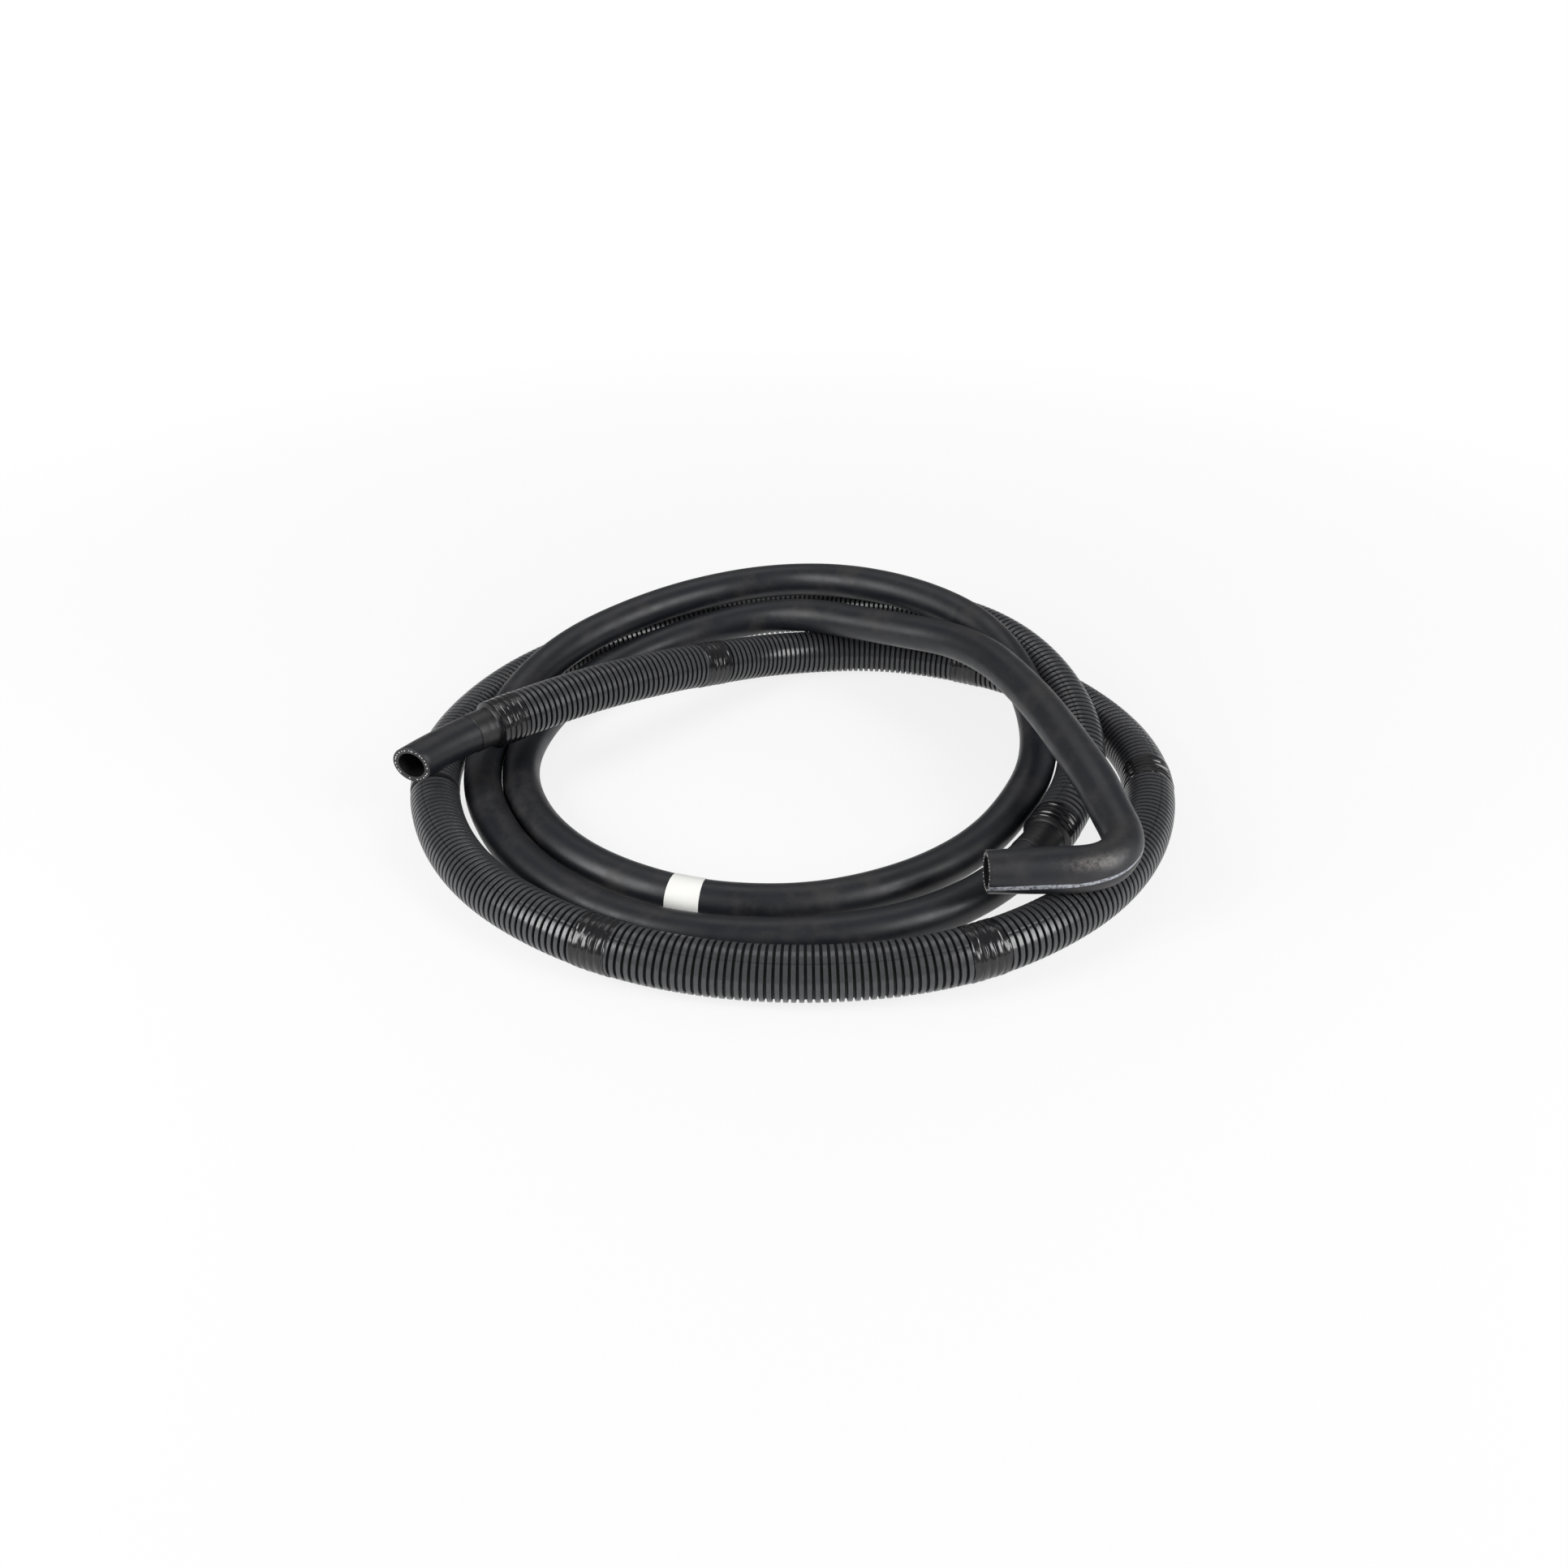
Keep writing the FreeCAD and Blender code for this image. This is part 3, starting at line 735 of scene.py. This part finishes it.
# Tapes on sleeve A: the node each stands for, the distance of its middle, and the angle of its loose edge.
SLEEVE_TAPES = [
    ("tape_back", 269.0, 0.6),
    ("tape_back_right", 500.0, 2.4),
    ("tape_right", 721.0, -0.9),
    ("tape_front_right", 965.0, 1.9),
    ("tape_front_left", 1202.0, -2.2),
]
FIRST_TAPE_SEED = 31
# Tapes over a sleeve's end: the node each stands for, its sleeve, 1 at the sleeve's start or -1 at its end,
# how much of the tape is on the hose and on the sleeve, the angle of its loose edge, and its seed.
END_TAPES = [
    ("tape_end_a", SLEEVE_A, 1, 17.0, 23.0, 1.1, 41),
    ("tape_sleeve_end", SLEEVE_B, -1, 26.0, 19.0, -1.3, 42),
]
TAPE_WIDTH = 23.0
TAPE_THICKNESS = 0.3
TAPE_SIDES = 144
TAPE_STEP = 0.5
# Room under a tape, over the crests and over the bare hose, and how uneven it is there.
CREST_SLACK = 0.04
HOSE_SLACK = 0.22
HOSE_UNEVEN = 0.03
HOSE_UNEVEN_WAVES = (4.0, 8.0, 4)
# How deep a tape sags into the grooves, on the sleeve and at its ends, and how roundly.
SLEEVE_SAG = 0.62
END_SAG = 0.75
SAG_POWER = 1.2
# An end tape climbs to the sleeve over this length, and its folds grow from a share to a larger one.
CLIMB = 1.4
SMOOTH_FOLDS = 0.06
GROWN_FOLDS = 0.34
# Folds of a stretched tape: their height, the range of their wave lengths, and their turns round the tape
# in a wave. Broad and fine ones slant the two ways, and a number of wrinkles cross them.
BROAD_FOLD = 0.075
BROAD_WAVES = (6.4, 8.2)
BROAD_TURNS = 5
FINE_FOLD = 0.035
FINE_WAVES = (3.4, 4.4)
FINE_TURNS = -11
WRINKLE = 0.010
WRINKLE_WAVES = (8.0, 24.0)
WRINKLE_TURNS = (2, 9)
WRINKLES = 6
# The step at the tape's loose end, and the angle in which it fades.
LOOSE_STEP = 0.14
LOOSE_FADE = 0.9
# The cut edges: how far they stand out, how much lower they are, how far they wander and in which waves,
# and how much of the tape goes with them.
EDGE_LIP = 0.15
EDGE_DROP = 0.22
EDGE_WANDER = 0.35
EDGE_WAVES = (18.0, 60.0, 5)
EDGE_REACH = 3.0
# A tape's radius, near enough, which turns angles into millimetres round its edge.
EDGE_RADIUS = 20

# The marker band: its place, width and thickness, the room under it, and how far its edges are rounded.
MARKER_MIDDLE = 3812.5
MARKER_WIDTH = 21.5
MARKER_THICKNESS = 0.28
MARKER_SLACK = 0.12
MARKER_EDGE = 0.14
MARKER_RINGS = 24
MARKER_SIDES = 72


def tape_folds(marks, angles, chance):
    """Heights of the stretch folds that slant round a wound tape."""
    along = marks[:, None] * TURN
    wave = chance.uniform(*BROAD_WAVES)
    folds = BROAD_FOLD * np.sin(along / wave + BROAD_TURNS * angles + chance.uniform(0, ANY_PHASE))
    wave = chance.uniform(*FINE_WAVES)
    folds = folds + FINE_FOLD * np.sin(along / wave + FINE_TURNS * angles)
    for _ in range(WRINKLES):
        wave = chance.uniform(*WRINKLE_WAVES)
        turns = chance.integers(*WRINKLE_TURNS)
        folds = folds + WRINKLE * np.sin(along / wave + angles * turns + chance.uniform(0, ANY_PHASE))
    return folds


def wander_edges(piece, distances, marks, shift):
    """The cut edges wander a little along the route, and the tape between them stays."""
    _, along, _, _ = frames(distances)
    at_first = np.clip(1 - (distances - marks[0]) / EDGE_REACH, 0, 1)
    at_last = np.clip(1 - (marks[-1] - distances) / EDGE_REACH, 0, 1)
    moved = (at_first - at_last)[:, None] * shift[None]
    moved = along[:, None] * moved[..., None] * MM
    move_vertices(piece, read_vertices(piece) + moved.reshape(-1, 3))


def tape_skin(node, marks, inner, loose_angle, seed, creased):
    """A wound tape over inner radii: slanting stretch folds, as high as the share creased says, wandering
    cut edges and a step where its loose end lies."""
    angles = even_angles(TAPE_SIDES)
    folds = tape_folds(marks, angles, np.random.default_rng(seed))
    behind = (angles - loose_angle) % TURN
    outside = inner[:, None] + TAPE_THICKNESS + folds * creased[:, None]
    outside = outside + LOOSE_STEP * np.exp(-behind / LOOSE_FADE)[None]
    inside = per_vertex(inner[::-1], TAPE_SIDES)
    distances = np.concatenate([[marks[0] - EDGE_LIP], marks, [marks[-1] + EDGE_LIP], marks[::-1]])
    radii = np.concatenate([outside[[0]] - EDGE_DROP, outside, outside[[-1]] - EDGE_DROP, inside])
    facts = {"creased": np.concatenate([creased[:1], creased, creased[-1:], creased[::-1]])}
    piece = turned("band_" + node, distances, radii, angles, TAPE, facts=facts, sharp=45.0)
    wander = EDGE_WANDER * ripple(angles * EDGE_RADIUS, seed + 1, EDGE_WAVES)
    wander_edges(piece, distances, marks, wander)
    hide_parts(node)


def tape_marks(low, high):
    """Distances of a tape's rings. The hair's breadth keeps the last one in."""
    return np.arange(low, high + 0.01, TAPE_STEP)


def over_ribs(heights, sag):
    """Inner radii of a tape that bridges the grooves and sags into them a little."""
    return CREST_RADIUS + CREST_SLACK - sag * (1 - heights) ** SAG_POWER


def sleeve_tape(node, middle, loose_angle, seed):
    """A band of tape over sleeve A."""
    marks = tape_marks(middle - TAPE_WIDTH / 2, middle + TAPE_WIDTH / 2)
    inner = over_ribs(rib_height(marks, SLEEVE_A), SLEEVE_SAG)
    tape_skin(node, marks, inner, loose_angle, seed, np.ones(len(marks)))


def end_tape(node, sleeve, forward, on_hose, on_sleeve, loose_angle, seed):
    """Tape over a sleeve's end: tight on the bare hose, up over the sleeve's rim and on over its ribs."""
    start, end = sleeve
    rim = start if forward == 1 else end
    low, high = sorted((rim - forward * on_hose, rim + forward * on_sleeve))
    marks = tape_marks(low, high)
    past = (marks - rim) * forward
    climb = np.clip((past + CLIMB) / CLIMB, 0.0, 1.0)
    climb = climb * climb * (3 - 2 * climb)
    on_ribs = over_ribs(np.where(past > 0, rib_height(marks, sleeve), 1.0), END_SAG)
    on_bare = HOSE_RADIUS + HOSE_SLACK + HOSE_UNEVEN * ripple(marks, seed, HOSE_UNEVEN_WAVES)
    inner = on_bare + climb * (on_ribs - on_bare)
    tape_skin(node, marks, inner, loose_angle, seed, SMOOTH_FOLDS + GROWN_FOLDS * climb)


def marker_piece():
    """A thin white band round the bare hose."""
    half = MARKER_WIDTH / 2
    marks = np.linspace(MARKER_MIDDLE - half, MARKER_MIDDLE + half, MARKER_RINGS)
    inner = np.full(MARKER_RINGS, HOSE_RADIUS + MARKER_SLACK)
    outer = inner + MARKER_THICKNESS
    outer[[0, -1]] -= MARKER_EDGE
    distances = np.concatenate([marks, marks[::-1]])
    radii = np.concatenate([outer, inner[::-1]])
    piece = turned("marker_ring", distances, radii, even_angles(MARKER_SIDES), MARKER)
    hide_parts("marker_band")


hose_piece()
yarn_ends("yarn_ends_a", 0.0, outward=-1, seed=11)
yarn_ends("yarn_ends_b", LENGTH, outward=1, seed=12)
sleeve_piece("ribbed_sleeve_a", "guard_sleeve_a", SLEEVE_A, seam=-0.45, seed=21)
sleeve_piece("ribbed_sleeve_b", "guard_sleeve_b", SLEEVE_B, seam=0.35, seed=22)
for number, (node, middle, loose_angle) in enumerate(SLEEVE_TAPES):
    sleeve_tape(node, middle, loose_angle, FIRST_TAPE_SEED + number)
for tape in END_TAPES:
    end_tape(*tape)
marker_piece()


# Floor, light and camera.

# Half the floor's side, how far it lies under the coil, and how white it looks under and past the coil.
FLOOR_REACH = 30.0
FLOOR_DROP = 0.0002
FLOOR_LIFT = 0.82
NEAR_COIL = 0.30
PAST_COIL = 1.10
# Each lamp's name, place, aim, width and height, in metres, and its power.
LAMPS = [
    ("left_box", (-1.20, -0.65, 0.80), (0.0, 0.0, 0.05), 0.6, 1.0, 17.0),
    ("right_box", (1.20, -0.80, 0.80), (0.0, 0.0, 0.05), 0.6, 1.0, 17.0),
    ("top_box", (0.0, 0.9, 1.6), (0.0, 0.0, 0.0), 1.2, 0.8, 3.5),
]
WORLD_LIGHT = 0.25
# The camera: how far in front of the middle of the loops and how high, in millimetres, the angle in
# degrees at which it looks down, and its lens on its sensor.
CAMERA_BACK = 830.0
CAMERA_HEIGHT = 566.0
CAMERA_DOWN = 34.396
CAMERA_LENS = 31.01
CAMERA_SENSOR = 36.0


def floor_material():
    """Matt and pale. What is seen directly or in a gloss is lifted to white: a little near the coil, where
    its soft shadow stays, and wholly further off."""
    n = Nodes("floor_pale")
    matt = n.add("ShaderNodeBsdfDiffuse")
    n.put(matt, Color=(*FLOOR_PALE, 1.0))
    glow = n.add("ShaderNodeEmission")
    n.put(glow, Color=(*WHITE, 1.0))
    path = n.add("ShaderNodeLightPath")
    seen = n.math("MAXIMUM", path.outputs["Is Camera Ray"], path.outputs["Is Glossy Ray"])
    spot = n.add("ShaderNodeVectorMath", operation="LENGTH")
    n.join(n.object_point(), spot.inputs[0])
    lift = n.span(spot.outputs["Value"], NEAR_COIL, PAST_COIL, FLOOR_LIFT, 1.0)
    mix = n.add("ShaderNodeMixShader")
    n.join(n.math("MULTIPLY", seen, lift), mix.inputs[0])
    n.join(matt.outputs[0], mix.inputs[1])
    n.join(glow.outputs[0], mix.inputs[2])
    n.join(mix.outputs[0], n.output.inputs["Surface"])
    return n.material


def floor_piece():
    """A large flat floor just under the coil."""
    far = FLOOR_REACH
    corners = [(-far, -far, 0.0), (far, -far, 0.0), (far, far, 0.0), (-far, far, 0.0)]
    mesh = bpy.data.meshes.new("floor")
    mesh.from_pydata(corners, [], [(0, 1, 2, 3)])
    mesh.materials.append(floor_material())
    floor = bpy.data.objects.new("floor", mesh)
    floor.location.z = -FLOOR_DROP
    bpy.context.scene.collection.objects.link(floor)


def area_light(name, place, target, wide, tall, power):
    """A softbox, turned to its target."""
    data = bpy.data.lights.new(name, "AREA")
    data.shape = "RECTANGLE"
    data.size = wide
    data.size_y = tall
    data.energy = power
    lamp = bpy.data.objects.new(name, data)
    lamp.location = place
    aim = Vector(target) - Vector(place)
    lamp.rotation_euler = aim.to_track_quat("-Z", "Y").to_euler()
    bpy.context.scene.collection.objects.link(lamp)


def world():
    """Even white light from all round."""
    ambient = bpy.data.worlds.new("studio")
    bpy.context.scene.world = ambient
    ambient.use_nodes = True
    background = ambient.node_tree.nodes["Background"]
    background.inputs["Color"].default_value = (*WHITE, 1.0)
    background.inputs["Strength"].default_value = WORLD_LIGHT


def camera():
    """At the photograph's place: above and in front of the coil, looking down at it."""
    data = bpy.data.cameras.new("camera")
    data.sensor_width = CAMERA_SENSOR
    data.lens = CAMERA_LENS
    data.clip_start = 0.01
    data.clip_end = 200.0
    view = bpy.data.objects.new("camera", data)
    x, y = RING_CENTRE
    view.location = (x * MM, (y - CAMERA_BACK) * MM, CAMERA_HEIGHT * MM)
    view.rotation_euler = (math.radians(90.0 - CAMERA_DOWN), 0.0, 0.0)
    bpy.context.scene.collection.objects.link(view)
    bpy.context.scene.camera = view


floor_piece()
world()
for lamp in LAMPS:
    area_light(*lamp)
camera()
bpy.context.scene.view_settings.view_transform = "Standard"
